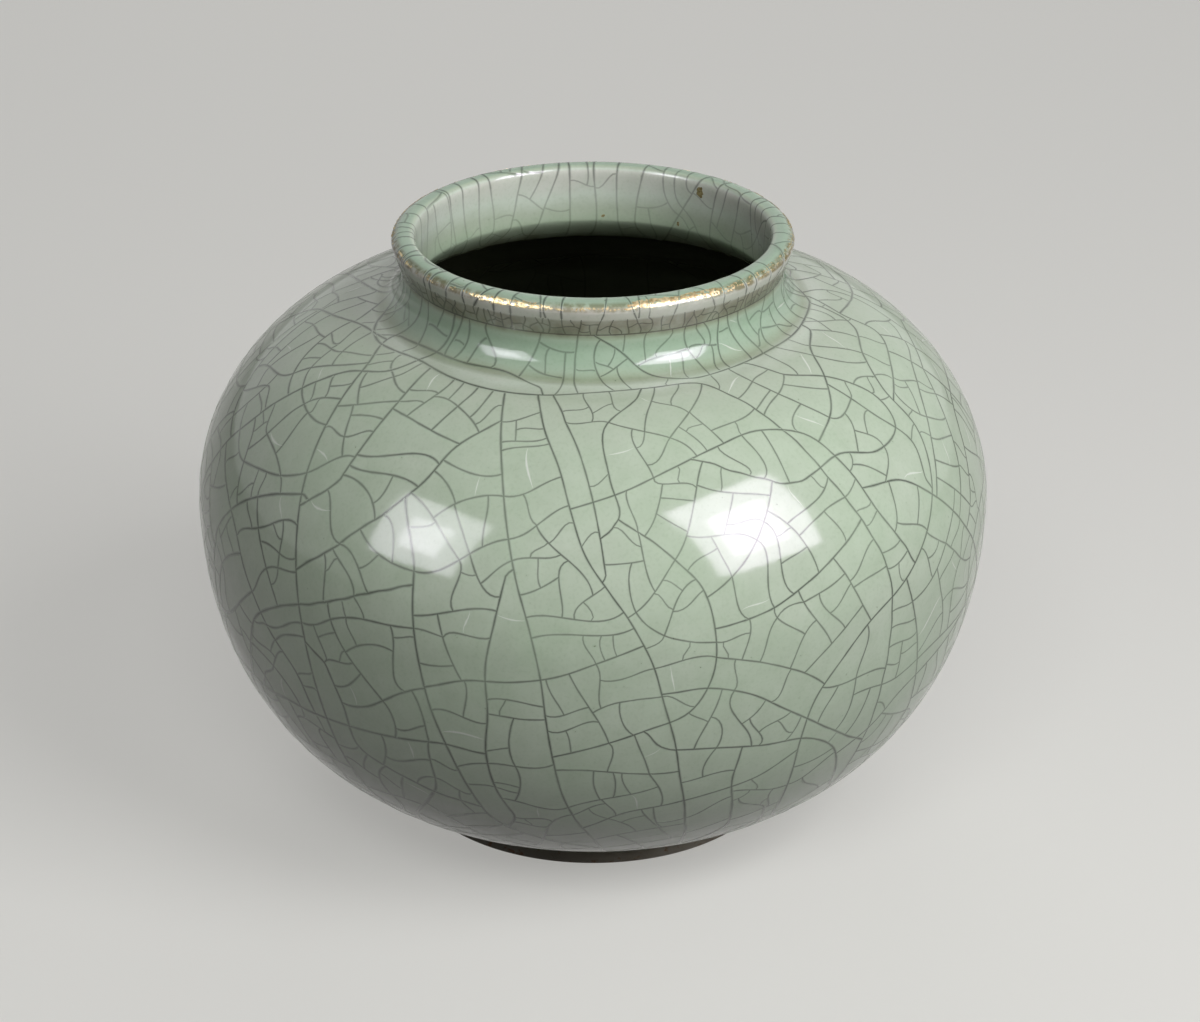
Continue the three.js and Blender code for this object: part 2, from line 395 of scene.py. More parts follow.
def make_celadon(name, cracked=False):
    """Celadon glaze, fired to a clear gloss.

    Grey green where it is even, bluer where it pools and a pinkish white where it runs thin. A faint
    mottle, fine specks and a slight ripple keep its highlights from looking machined. Painted shade and
    some grime darken it in the hollows, under the lip and deep inside, and the size of the worn leaf leaves
    the roll of the lip an olive brown. In a crack the same glaze darkens to a grey stain towards the middle,
    and a crack with no stain in it is pale.
    """
    celadon = new_material(name)
    mottle = noise(celadon, size=26.0, detail=4.0, roughness=0.55)
    cloud = noise(celadon, size=7.0, detail=3.0)
    speck = noise(celadon, size=0.9, detail=1.0)
    size_patch = noise(celadon, size=2.8, detail=3.0, roughness=0.6)
    ripple = noise(celadon, size=9.0, detail=1.0)
    peel = noise(celadon, size=1.6, detail=2.0)
    ripple_depth = 0.06
    peel_depth = 0.006

    def value(written):
        return add_node(celadon, "ShaderNodeAttribute", attribute_name=written).outputs["Fac"]

    def worked_out(operation, *values, **settings):
        inputs = dict(enumerate(values))
        return add_node(celadon, "ShaderNodeMath", inputs, operation=operation, **settings).outputs[0]

    def tinted(colour, tint, factor=1.0):
        return mixed(celadon, factor, colour, tint, "MULTIPLY")

    # Thickness runs from -1 to 1, and the mottle moves it a little either way
    mottled = worked_out("MULTIPLY_ADD", mottle, 0.7, -0.35)
    uneven = worked_out("ADD", value("glaze_thickness"), mottled)
    colour = ramp(
        celadon, worked_out("MULTIPLY_ADD", uneven, 0.5, 0.5),
        (0.0, "E3E0D9"), (0.25, "DDE7DA"), (0.42, "C7D3C0"),
        (0.58, "C0D1B9"), (0.8, "B2C8B2"), (1.0, "A6C1A8"),
    )
    colour = tinted(colour, ramp(celadon, cloud, (0.3, "F4F6F3"), (0.7, "FFFFFF")))
    colour = tinted(colour, ramp(celadon, speck, (0.16, "B4B8AC"), (0.2, "F6F8F5"), (0.5, "FFFFFF")))
    # Painted shade with some grime: darkens the glaze towards a grey brown under the lip, in the hollows and
    # inside
    grime_and_shade_share = ramp(celadon, cloud, (0.35, "D0D0D0"), (0.65, "FFFFFF"))
    grime_and_shade_amount = worked_out("MULTIPLY", value("soiling"), grime_and_shade_share)
    colour = tinted(colour, ramp(celadon, grime_and_shade_amount, (0.0, "FFFFFF"), (0.6, "B0AA9E"), (1.0, "5A554D")))
    size_share = ramp(celadon, size_patch, (0.32, "505050"), (0.56, "DCDCDC"))
    colour = tinted(colour, srgb("8A7A3A"), worked_out("MULTIPLY", value("gilding_size"), size_share))
    if cracked:
        core = value("crack_core")
        patches = ramp(celadon, mottle, (0.38, "FFFFFF"), (0.68, "D0D0D0"))
        stained = tinted(colour, ramp(celadon, core, (0.0, "FFFFFF"), (1.0, "484C48")), patches)
        paleness = worked_out("MULTIPLY", core, -1.0, use_clamp=True)
        colour = mixed(celadon, paleness, stained, srgb("F2F5EF"))
    end_in_surface(celadon, {
        "Base Color": colour,
        "Roughness": 0.1,
        "IOR": 1.5,
        "Normal": bump(celadon, peel, 1.0, peel_depth, bump(celadon, ripple, 1.0, ripple_depth)),
    })
    return celadon


celadon_outside = make_celadon("celadon glaze, dipped")
outer_glaze = put_in_scene("celadon_outside", *turn_outline(outer_outline, body_columns), celadon_outside)
# The outer coat gets its thickness and its painted shade and grime, row by row
for value_name, stops in (("glaze_thickness", thickness_stops), ("soiling", soiling_stops)):
    face_values = value_along(glazed_outside, stops)
    row_values = np.concatenate([face_values, face_values[back_rows]])
    write_value(outer_glaze, value_name, np.repeat(row_values, body_columns))

# The size of leaf remains in the glaze of the roll wherever the gold has worn off. It lies full from 8 to
# 42 degrees up the roll and fades out to both sides
roll_place = np.degrees(np.arctan2(glazed_outside[:, 1] - lip_side[1], glazed_outside[:, 0] - crest[0]))
on_roll = np.interp(roll_place, [-2, 8, 42, 64], [0, 1, 1, 0]) * (glazed_outside[:, 0] > crest[0])
on_roll = np.concatenate([on_roll, on_roll[back_rows]])
column_side = to_the_right(np.linspace(0, 2 * math.pi, body_columns, endpoint=False))
size_by_column = np.interp(column_side, *np.transpose(gilding_size_by_side))
write_value(outer_glaze, "gilding_size", np.outer(on_roll, size_by_column).ravel())
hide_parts("outer_glaze")

# Inner glaze
# The same glaze, poured in, swilled round and tipped out. It meets the outer coat in the mouth and
# lies even over the wall and the flat floor.

mouth_bottom = (48.2, 153.0)
throat = (57.0, 144.5)
inner_belt = (104.0, 92.5)
floor_edge = (36.0, 14.5)
floor_middle = (0.0, 14.5)
throat_slope = math.radians(15)
throat_shares = (0.18, 0.34)
inner_glaze_thickness = 0.6
inside_columns = 300

throat_drop = mouth_bottom[1] - throat[1]
throat_reach = throat_shares[1] * (throat[0] - mouth_bottom[0])
mouth_handle = (mouth_bottom[0], mouth_bottom[1] - throat_shares[0] * throat_drop)
throat_handle = (
    throat[0] - throat_reach * math.cos(throat_slope),
    throat[1] + throat_reach * math.sin(throat_slope),
)
glazed_inside = joined(
    np.linspace(mouth_seam, mouth_bottom, 6),
    bezier(mouth_bottom, mouth_handle, throat_handle, throat, 16),
    body_quarter(inner_belt, throat, throat_slope, shoulder_shares, 50)[::-1],
    body_quarter(inner_belt, floor_edge, 0, bowl_shares, 60),
    np.linspace(floor_edge, floor_middle, 20),
)
inner_face = sunk(glazed_inside, crack_room)
inner_face[-1, 0] = 0
inner_back = sunk(glazed_inside, inner_glaze_thickness)[::-1]
inner_back[0, 0] = 0
inner_outline = np.vstack([inner_back, inner_face])
celadon_inside = make_celadon("celadon glaze, poured")
inner_glaze = put_in_scene("celadon_inside", *turn_outline(inner_outline, inside_columns), celadon_inside)
# Below the mouth the darkening deepens towards the belly inside: painted shade in the jar's depths, with some
# grime
inner_face_values = {
    "glaze_thickness": [(mouth_seam, -0.3), (mouth_bottom, 0.2), ((80.0, 136.0), 0.1), (floor_middle, 0.3)],
    "soiling": [
        (mouth_seam, 0.0), (mouth_bottom, 0.1), (throat, 0.8), ((66.0, 142.0), 2.0), ((80.0, 136.0), 2.6),
        (inner_belt, 2.0), ((90.0, 50.0), 0.8), (floor_middle, 0.5),
    ],
}
for value_name, stops in inner_face_values.items():
    face_values = value_along(glazed_inside, stops)[::-1]
    both_sides = np.concatenate([face_values[1:], face_values[::-1][:-1]])
    pole_values = [face_values[0], face_values[0]]
    write_value(inner_glaze, value_name, np.concatenate([np.repeat(both_sides, inside_columns), pole_values]))
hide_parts("inner_glaze")

# Base glaze
# The recess inside the foot ring is glazed too. The glaze lies flat there and thickens a little where
# it meets the ring.

base_edge_radius = 45.2
base_top = 7.44
base_room = 0.02
base_bottom = 6.74
base_fillet = 1.1
base_fillet_share = 0.3
base_edge_drop = 0.35
base_columns = 240
base_thickness = 0.1

glazed_base = joined(
    np.linspace((0, base_bottom), (base_edge_radius - base_fillet, base_bottom), 24),
    bezier(
        (base_edge_radius - base_fillet, base_bottom),
        (base_edge_radius - base_fillet_share * base_fillet, base_bottom),
        (base_edge_radius, base_bottom),
        (base_edge_radius, base_bottom - base_edge_drop),
        8,
    ),
)
base_outline = np.vstack([glazed_base, [(base_edge_radius, base_top - base_room), (0, base_top - base_room)]])
celadon_base = make_celadon("celadon glaze, brushed")
base_glaze = put_in_scene("celadon_base", *turn_outline(base_outline, base_columns), celadon_base)
write_value(base_glaze, "glaze_thickness", np.full(len(base_glaze.data.vertices), base_thickness))
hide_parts("base_glaze")

# Crackle
# The glaze shrinks more than the clay as it cools, so it cracks from edge to edge, each new crack
# ending square on an older one. Tea and ink rubbed in have stained the cracks a dark green grey.

crack_depth = 0.25
crack_top = 0.042
crack_layer = 0.0014
crack_step = 1.4
stain_reach = 0.42
tip_width = 0.16
least_taper = 0.12
crackle_seed = 11
random = np.random.default_rng(crackle_seed)

# How wide the stains have spread, by the angle from the front towards the right, in degrees
opening_by_side = [
    (-180, 1.1), (-60, 1.35), (-25, 1.15), (0, 0.8), (25, 0.85), (55, 1.0), (100, 1.1), (180, 1.1),
]

# How a crack is chosen to split a cell: what its length, a slant at an end, a corner near an end and mere
# chance count against it, and what carrying on an older crack counts for it. It also has to be square and
# long enough, and to cut off more than a least share of the cell, part of which is drawn
length_weight = 0.8
slant_weight = 1.3
corner_weight = 1.2
chance_weight = 1.1
carry_weight = 0.5
least_square = 0.35
least_length = 1.5
least_share = 0.06
drawn_share = 0.3

# How much a crack wavers: the lengths of its waves in millimetres, the share of one that it has to be long
# to show it, and how rough a split is and the end of a set course that is led on
drift_waves = (60.0, 30.0, 15.0, 7.0)
drift_least = 0.35
split_roughness = 0.006
end_roughness = 0.02


def flat_map(line, **columns):
    """The line as a map that keeps angles: its climb is the sum of step over radius.

    A small figure drawn in angle and climb keeps its shape on the glaze, larger by the radius there. The
    crowd is the number of typical cells below a climb for each radian round, the sum of step times radius
    over cell size. Among the columns, the ease is the share of its length that an upright step costs.
    """
    steps = np.linalg.norm(np.diff(line, axis=0), axis=1)
    middle = (line[1:, 0] + line[:-1, 0]) / 2
    way = unit(np.gradient(line, axis=0))
    middle_size = (columns["cell_size"][1:] + columns["cell_size"][:-1]) / 2
    return {
        **columns,
        "climb": running(steps / middle),
        "radius": line[:, 0],
        "height": line[:, 1],
        "out": way[:, 1],
        "up": -way[:, 0],
        "crowd": running(steps * middle / middle_size),
    }


def read(chart, what, climb):
    """A quantity of the map at the given climbs."""
    return np.interp(climb, chart["climb"], chart[what])


def strips_below(chart, cell):
    """The typical cells below each edge of a cell: the crowd below it times its step in angle."""
    below = read(chart, "crowd", cell[:, 1])
    return -(np.roll(cell[:, 0], -1) - cell[:, 0]) * (below + np.roll(below, -1)) / 2


def crowd_in(chart, cell):
    """How many typical cells a cell would hold: the sum of the strips below its edges."""
    return np.sum(strips_below(chart, cell))


def cross(one, other):
    """The cross product of flat vectors, x1 y2 - y1 x2."""
    return one[..., 0] * other[..., 1] - one[..., 1] * other[..., 0]


def swing(one, other):
    """The angle from each vector of one list to that of another: atan2 of cross over dot product."""
    return np.arctan2(cross(one, other), (one * other).sum(axis=1))


def turned(way, angle):
    """A direction turned by an angle."""
    c, s = math.cos(angle), math.sin(angle)
    return np.array([way[0] * c - way[1] * s, way[0] * s + way[1] * c])


def meets(path, cell):
    """For each step of a path and each edge of a cell, where along the step they cross, or nan."""
    step = (path[1:] - path[:-1])[:, None]
    edge = (np.roll(cell, -1, axis=0) - cell)[None]
    gap = cell[None] - path[:-1, None]
    turn = cross(step, edge)
    # A step and an edge that run the same way would divide by zero
    turn = np.where(np.abs(turn) < 1e-15, 1e-15, turn)
    on_step = cross(gap, edge) / turn
    on_edge = cross(gap, step) / turn
    return np.where((on_step > 0) & (on_step < 1) & (on_edge >= 0) & (on_edge <= 1), on_step, np.nan)


def holds(cell, point):
    """Whether a cell goes round a point: the swings from corner to corner, seen from it, make a full turn."""
    side = cell - point
    return swing(side, np.roll(side, -1, axis=0)).sum() > math.pi


def drift(count, length, roughness):
    """A slow sideways drift along a crack: a few sine waves of set lengths, brought to zero at both ends."""
    t = np.linspace(0, 1, count)
    waves = np.array([wave for wave in drift_waves if length > drift_least * wave])
    size = 0.5 * roughness * waves * random.normal(size=len(waves))
    phase = random.random(len(waves))
    sway = (size * np.sin(2 * math.pi * (t[:, None] * length / waves + phase))).sum(axis=1)
    return sway - (sway[0] * (1 - t) + sway[-1] * t)


def hermite(t, start, leave, end, arrive):
    """The cubic curve from start to end that sets out along leave and comes in along arrive."""
    return (
        (2 * t ** 3 - 3 * t ** 2 + 1) * start
        + (t ** 3 - 2 * t ** 2 + t) * leave
        + (3 * t ** 2 - 2 * t ** 3) * end
        + (t ** 3 - t ** 2) * arrive
    )


def settled(points):
    """Points rounded to nine places, so that every run and every machine makes the same choices from them."""
    return np.round(points, 9)


def cut_in_two(cell, path, i, j):
    """The two cells on either side of a path that enters on edge i and leaves on edge j."""
    ring = np.vstack([cell, cell])
    halves = []
    for way, first, last in ((path, i, j), (path[::-1], j, i)):
        if last <= first:
            last += len(cell)
        halves.append(np.vstack([way[:1], ring[first + 1:last + 1], way[:0:-1]]))
    return halves


def share_cut_off(chart, cell, crowd, i, a, j, b):
    """The share of a cell's crowd on the smaller side of a straight cut from a on edge i to b on edge j.

    The strips below the cell's edges are summed round to both ends, and the strip below the cut closes
    the sum.
    """
    below = read(chart, "crowd", cell[:, 1])
    below_a, below_b = read(chart, "crowd", a[:, 1]), read(chart, "crowd", b[:, 1])
    swept = running(strips_below(chart, cell))
    to_a = swept[i] - (a[:, 0] - cell[i, 0]) * (below_a + below[i]) / 2
    to_b = swept[j] - (b[:, 0] - cell[j, 0]) * (below_b + below[j]) / 2
    part = np.mod((to_b - to_a - (a[:, 0] - b[:, 0]) * (below_a + below_b) / 2) / crowd, 1)
    return np.minimum(part, 1 - part)


def coming_in(chart, cell, edge, inward, arrivals):
    """The first few cracks that arrive on a cell's edge from outside: their edges, shares along, and ways.

    Each is within reach of its edge, in millimetres, heads into the cell and is clear of its corners.
    """
    count = 8
    margin = 0.001
    reach = 0.05
    least_inward = 0.5
    corner_room = 1e-4
    near = np.array(arrivals).reshape(-1, 4)
    near = near[np.all((near[:, :2] > cell.min(0) - margin) & (near[:, :2] < cell.max(0) + margin), axis=1)]
    edge_length = np.linalg.norm(edge, axis=1)
    gap = near[:, None, :2] - cell[None]
    share = np.clip((gap * edge).sum(axis=2) / edge_length ** 2, 0, 1)
    apart = np.linalg.norm(gap - share[..., None] * edge, axis=2)
    at = apart.argmin(axis=1)
    fits = (apart.min(axis=1) * read(chart, "radius", near[:, 1]) < reach)
    fits &= (near[:, 2:] * inward[at]).sum(axis=1) > least_inward
    fits &= (np.minimum(share, 1 - share) * edge_length)[np.arange(len(near)), at] > corner_room
    share = share[np.arange(len(near)), at]
    return at[fits][:count], share[fits][:count], near[fits][:count, 2:]


def split_cell(chart, cell, arrivals):
    """Cracks a cell across: the path leaves one edge square, bends gently and lands square on another.

    Many pairs of edge places are scored for a short, square crack that starts clear of corners, and the
    best one that stays inside is kept. A crack that arrives from the far side of an edge, clear of the
    cell's corners, may carry on into the cell.
    """
    tries = 160
    tries_carried = 8
    finalists = 14
    corner_bend = 0.45
    no_corner = 9.0
    handle_share = 1.05
    carried_turn = 0.3
    least_points = 5
    following = np.roll(cell, -1, axis=0)
    edge = following - cell
    edge_length = np.linalg.norm(edge, axis=1)
    edge_scale = edge_length * read(chart, "radius", (cell[:, 1] + following[:, 1]) / 2)
    rim = running(edge_scale)
    way = unit(edge)
    inward = left_of(way)
    corners = rim[:-1][np.abs(swing(np.roll(way, 1, axis=0), way)) > corner_bend]
    start, end = random.random((2, tries)) * rim[-1]
    carried = np.full((tries, 2), np.nan)
    at, share, arriving = coming_in(chart, cell, edge, inward, arrivals)
    repeated = np.repeat(np.arange(len(at)), tries_carried)
    start[:len(repeated)] = (rim[at] + share * edge_scale[at])[repeated]
    carried[:len(repeated)] = arriving[repeated]

    def on_rim(place):
        i = np.clip(np.searchsorted(rim, place, side="right") - 1, 0, len(cell) - 1)
        return i, cell[i] + ((place - rim[i]) / (rim[i + 1] - rim[i]))[:, None] * edge[i]

    def near_corner(place):
        if not len(corners):
            return np.exp(np.full(tries, -no_corner))
        apart = np.abs(place[:, None] - corners[None])
        return np.exp(-np.minimum(apart, rim[-1] - apart).min(axis=1))

    i, a = on_rim(start)
    j, b = on_rim(end)
    goes_on = ~np.isnan(carried[:, 0])
    leave = np.where(goes_on[:, None], carried, inward[i])
    land = inward[j]
    chord = b - a
    flat_length = np.linalg.norm(chord, axis=1) + 1e-12
    ahead = chord / flat_length[:, None]
    middle = (a[:, 1] + b[:, 1]) / 2
    ease, radius = read(chart, "ease", middle), read(chart, "radius", middle)
    length = flat_length * radius
    square_start = (ahead * leave).sum(axis=1)
    square_end = -(ahead * land).sum(axis=1)
    cost = np.hypot(chord[:, 0], ease * chord[:, 1]) * radius
    crowd = crowd_in(chart, cell)
    typical = np.sqrt(crowd * read(chart, "cell_size", middle) * ease)
    score = (
        length_weight * cost / typical
        + slant_weight * (1 - square_start)
        + slant_weight * (1 - square_end)
        + corner_weight * np.where(goes_on, np.exp(-no_corner), near_corner(start))
        + corner_weight * near_corner(end)
        + chance_weight * random.random(tries)
        - carry_weight * goes_on
    )
    part = share_cut_off(chart, cell, crowd, i, a, j, b)
    too_thin = part < least_share + drawn_share * random.random(tries) ** 1.3
    slanting = np.minimum(square_start, square_end) < least_square
    score[too_thin | slanting | (length < least_length) | (i == j)] = np.inf
    for best in np.argsort(score)[:finalists]:
        if not np.isfinite(score[best]):
            return None
        # A short crack bends more than a long one, and one that carries on sets out nearly straight
        turn_start, turn_end = random.normal(0, 0.12 + 0.5 / (1 + length[best] / 6), 2)
        reach = handle_share * flat_length[best]
        pull_a = turned(leave[best], turn_start * (carried_turn if goes_on[best] else 1)) * reach
        pull_b = turned(-land[best], turn_end) * reach
        points = max(least_points, math.ceil(length[best] / crack_step) + 1)
        path = hermite(np.linspace(0, 1, points)[:, None], a[best], pull_a, b[best], pull_b)
        sideways = left_of(ahead[best]) * flat_length[best] / length[best]
        path = settled(path + drift(points, length[best], split_roughness)[:, None] * sideways)
        crossing = ~np.isnan(meets(path, cell))
        crossing[0, i[best]] = crossing[-1, j[best]] = False
        if crossing.any():
            continue
        halves = cut_in_two(cell, path, i[best], j[best])
        if min(crowd_in(chart, half) for half in halves) > 0:
            return path, halves, goes_on[best]
    return None


def course_through(cell, path):
    """Cuts a cell wherever a set course crosses it from edge to edge. Gives the cells left and the cracks."""
    least_steps = 0.02
    crossing = meets(path, cell)
    step, edge = np.nonzero(~np.isnan(crossing))
    place = step + crossing[step, edge]
    order = np.argsort(place)
    place, step, edge = place[order], step[order], edge[order]

    def point_at(place, step):
        return path[step] + (place - step) * (path[step + 1] - path[step])

    for k in range(len(place) - 1):
        middle = (place[k] + place[k + 1]) / 2
        here = path[int(middle)] + (middle % 1) * (path[int(middle) + 1] - path[int(middle)])
        if place[k + 1] - place[k] < least_steps or edge[k] == edge[k + 1] or not holds(cell, here):
            continue
        ends = [point_at(place[m], step[m]) for m in (k, k + 1)]
        inside = settled(np.vstack([ends[0], path[step[k] + 1:step[k + 1] + 1], ends[1]]))
        halves = cut_in_two(cell, inside, edge[k], edge[k + 1])
        rest = path[step[k + 1] + 1:]
        if len(rest) < 2:
            return halves, [inside]
        pieces, made = [], [inside]
        for half in halves:
            more_pieces, more_made = course_through(half, rest)
            pieces += more_pieces
            made += more_made
        return pieces, made
    return [cell], []


def led_on(chart, cells, course):
    """A set course with both ends led on, along a short way, to the edge of the cell they lie in.

    Nine ways are tried at each end, and a turn off the course makes one count as longer.
    """
    far = 2.0
    ways = 9
    widest_turn = 0.6
    turn_cost = 0.7
    least_overshoot = 0.05
    for _ in range(2):
        course = course[::-1]
        tip = course[-1]
        home = next((cell for cell in cells if holds(cell, tip)), None)
        if home is None:
            continue
        way = unit(course[-1] - course[-3])
        options = []
        for angle in np.linspace(-widest_turn, widest_turn, ways):
            aim = turned(way, angle)
            reach = far * np.nanmin(meets(np.array([tip, tip + far * aim]), home), initial=np.inf)
            options.append((reach * (1 + turn_cost * abs(angle)), reach, aim))
        cost, reach, aim = min(options, key=lambda option: option[0])
        if not np.isfinite(cost):
            continue
        scale = read(chart, "radius", tip[1])
        overshoot = least_overshoot / scale
        steps = max(3, math.ceil(reach * scale / crack_step) + 1)
        t = np.linspace(0, 1, steps)[1:, None]
        bend = (t - 2 * t ** 2 + t ** 3) * (way - aim) * reach
        sway = drift(steps, reach * scale, end_roughness)[1:, None] / scale * left_of(aim)
        course = settled(np.vstack([course, tip + aim * (reach + overshoot) * t + bend + sway]))
    return course


def crackle(chart, low, high, spread, carry_on, courses=(), arrivals=()):
    """Cracks a band of glaze between two climbs into cells.

    It starts as one cell, slit down the back. Set courses cut it first. Then each cell that is larger than
    its own drawn limit splits, the largest first. Returns the cracks with their generation, the cells, and
    where cracks arrive at edges. A crack that ends on another is always of a later generation.
    """
    sorted_below = 80
    rows = max(2, round(read(chart, "radius", low) * (high - low) / crack_step))
    climb = np.linspace(low, high, rows)
    # The slit wavers by two waves as it climbs
    seam = math.pi / 2 + 0.06 * np.sin(2.1 * climb) + 0.03 * np.sin(7.3 * climb + 1)
    slit = settled(np.stack([seam, climb], axis=1))
    edges = []
    for at, angle in ((low, seam[0]), (high, seam[-1])):
        count = int(2 * math.pi * read(chart, "radius", at) / crack_step)
        edges.append(np.stack([np.linspace(angle - 2 * math.pi, angle, count), np.full(count, at)], axis=1))
    other_lip = slit - np.array([2 * math.pi, 0])
    pieces = [settled(np.vstack([edges[0][:-1], slit[:-1], edges[1][:0:-1], other_lip[:0:-1]]))]
    cells, cracks, arrivals = [], [(0, slit)], list(arrivals)
    for number, course in enumerate(courses):
        course = led_on(chart, pieces, course)
        left = []
        for cell in pieces:
            more_pieces, made = course_through(cell, course)
            left += more_pieces
            cracks += [(number / len(courses), crack) for crack in made]
        pieces = left
    waiting = [(1, piece) for piece in pieces]
    while waiting:
        generation, cell = waiting.pop()
        limit = math.exp(spread * random.normal())
        broken = split_cell(chart, cell, arrivals) if crowd_in(chart, cell) > limit else None
        if broken is None:
            cells.append(cell)
            continue
        path, halves, went_on = broken
        cracks.append((generation, path))
        for tip, before in ((path[-1], path[-2]), (path[0], path[1])):
            if random.random() < carry_on and not (went_on and tip is path[0]):
                arrivals.append((*tip, *unit(tip - before)))
        waiting.extend((generation + 1, half) for half in halves)
        if len(waiting) < sorted_below:
            waiting.sort(key=lambda entry: crowd_in(chart, entry[1]))
    return cracks, cells, arrivals


def reach_along(chart, crack):
    """The distance on the glaze from a crack's start to each of its points."""
    way = np.diff(crack, axis=0)
    return running(np.linalg.norm(way, axis=1) * read(chart, "radius", crack[1:, 1]))


def picked(crack, distance, places):
    """The points of a crack at some places along it."""
    return np.stack([np.interp(places, distance, crack[:, k]) for k in (0, 1)], axis=1)


def finer(chart, crack, step):
    """The same crack with points no further apart than a step, so that it follows a tight roll."""
    distance = reach_along(chart, crack)
    places = np.linspace(0, distance[-1], max(2, math.ceil(distance[-1] / step) + 1))
    return picked(crack, distance, places)


def with_end_points(chart, crack):
    """A crack with one more point near each end, where it runs under the stain of the crack it ends on."""
    distance = reach_along(chart, crack)
    total = distance[-1]
    # Points closer to an end than this make room for the new one
    clear = 1.4 * stain_reach
    if total < 3 * stain_reach:
        return crack
    inner = distance[(distance > clear) & (distance < total - clear)]
    return picked(crack, distance, np.concatenate([[0, stain_reach], inner, [total - stain_reach, total]]))


def on_face(chart, angle, climb):
    """Points of the glazed face at angles and climbs, and the way out of it there."""
    radius, height, out, up = (read(chart, what, climb) for what in ("radius", "height", "out", "up"))
    return round_the_axis(radius, height, angle), round_the_axis(out, up, angle)


def carry_wedge(chart, cracks, paleness, taper):
    """Carries a narrow wedge along every crack at once.

    Each point of a crack gives three corners a hair above the glaze, at its middle and half a width to
    either side, and one below in the glaze. The stain is deepest at the middle and fades out to both sides.
    An older crack lies a little higher, and each end of a crack rises over the one it ends on, narrows and
    keeps its stain right across, so the two stains join. Four bands of faces join each point to the next,
    and a face closes each end. Returns the vertices, the faces and a table of values for each vertex.
    """
    cracks = [(generation, with_end_points(chart, crack)) for generation, crack in cracks]
    counts = np.array([len(crack) for _, crack in cracks])
    flat = np.vstack([crack for _, crack in cracks])
    ends = np.cumsum(counts) - 1
    begins = ends - counts + 1
    owner = np.repeat(np.arange(len(cracks)), counts)
    centre, normal = on_face(chart, *flat.T)
    normal = unit(normal)
    before = np.arange(len(flat)) - 1
    after = before + 2
    before[begins], after[ends] = begins, ends
    side = unit(np.cross(normal, centre[after] - centre[before]))
    distance = running(np.linalg.norm(centre[after] - centre, axis=1))[:-1]
    generation = np.array([generation for generation, _ in cracks])[owner]
    length = (distance[ends] - distance[begins])[owner]
    run = distance - distance[begins][owner]
    to_end = np.minimum(run, length - run)
    # A set course or a long crack is old, at 1, and its stain is wide and deep. Every width wavers a little
    age = np.where(generation < 1, 1.0, np.interp(length, [3, 12, 50], [0, 0.5, 1]))
    width = (0.7 + 0.28 * age) * read(chart, "opening", flat[:, 1])
    width *= np.interp(to_the_right(flat[:, 0]), *np.transpose(opening_by_side))
    width *= 1 + 0.1 * np.sin(run * 0.9 + owner * 2.4) + 0.05 * np.sin(run * 2.7 + owner)
    stain = (0.76 + 0.24 * age) * read(chart, "stain", flat[:, 1])
    side_stain = np.zeros(len(flat))
    lift = crack_top - generation * crack_layer
    if taper:
        width *= np.clip(to_end / taper, least_taper, 1)
        stain *= -paleness
    else:
        tips = np.concatenate([begins, ends])
        width[tips] = tip_width
        side_stain[tips] = stain[tips]
        lift[to_end < 1.1 * stain_reach] = crack_top + crack_layer
    half = (width / 2)[:, None]
    top = centre + normal * lift[:, None]
    vertices = np.stack([top + side * half, top, top - side * half, centre - normal * crack_depth], axis=1)
    first = 4 * np.delete(np.arange(len(flat)), ends)
    ring = [1, 0, 3, 2]
    quads = np.concatenate([
        np.stack([first + a, first + b, first + b + 4, first + a + 4], axis=1)
        for a, b in zip(ring, [0, 3, 2, 1])
    ])[:, ::-1]
    caps = np.concatenate([
        np.stack([4 * begins + k for k in ring], axis=1)[:, ::-1],
        np.stack([4 * ends + k for k in ring], axis=1),
    ])
    values = {"crack_core": np.stack([side_stain, stain, side_stain, stain], axis=1).ravel()}
    # Each crack takes the glaze's thickness and its painted shade and grime from where it lies
    for name in ("glaze_thickness", "soiling"):
        values[name] = np.repeat(read(chart, name, flat[:, 1]), 4)
    return vertices.reshape(-1, 3), quads.tolist() + caps.tolist(), values


def put_cracks(name, chart, cracks, paleness=0.0, taper=0.0):
    """Places one set of cracks as a piece. Its long edges are sharp, so its top keeps the glaze's gloss."""
    vertices, faces, values = carry_wedge(chart, cracks, paleness, taper)
    piece = put_in_scene(name, vertices, faces, stained_crack)
    for value_name, numbers in values.items():
        write_value(piece, value_name, numbers)


# One map of the whole glazed face, from the edge above the foot, over the lip, to the floor inside. The
# cracks stand close under the lip and are easily drawn across its roll, and the net is wide inside
inside_rows = slice(1, -3)
whole_face = np.vstack([glaze_face, inner_face[inside_rows]])
cell_size_stops = [
    (glaze_edge, 84.0), ((80.0, 24.0), 118.0), (belt, 122.0), ((80.0, 138.0), 98.0), (ridge, 80.0),
    (waist, 60.0), ((52.4, 159.9), 11.0), ((54.1, 163.9), 13.0), (lip_edge, 90.0), (lip_side, 120.0),
    ((50.0, 168.9), 120.0), (mouth_top, 110.0), (mouth_bottom, 125.0), (throat, 110.0),
    ((90.0, 130.0), 190.0), (floor_edge, 190.0),
]
ease_stops = [
    (glaze_edge, 1.0), ((76.0, 141.0), 1.0), ((66.0, 146.5), 0.6), (waist, 0.5), ((52.4, 159.9), 0.8),
    ((54.1, 163.9), 0.7), (lip_edge, 0.3), ((50.0, 168.9), 0.28), (mouth_top, 0.28), (mouth_bottom, 0.26),
    (throat, 1.0), (floor_edge, 1.0),
]

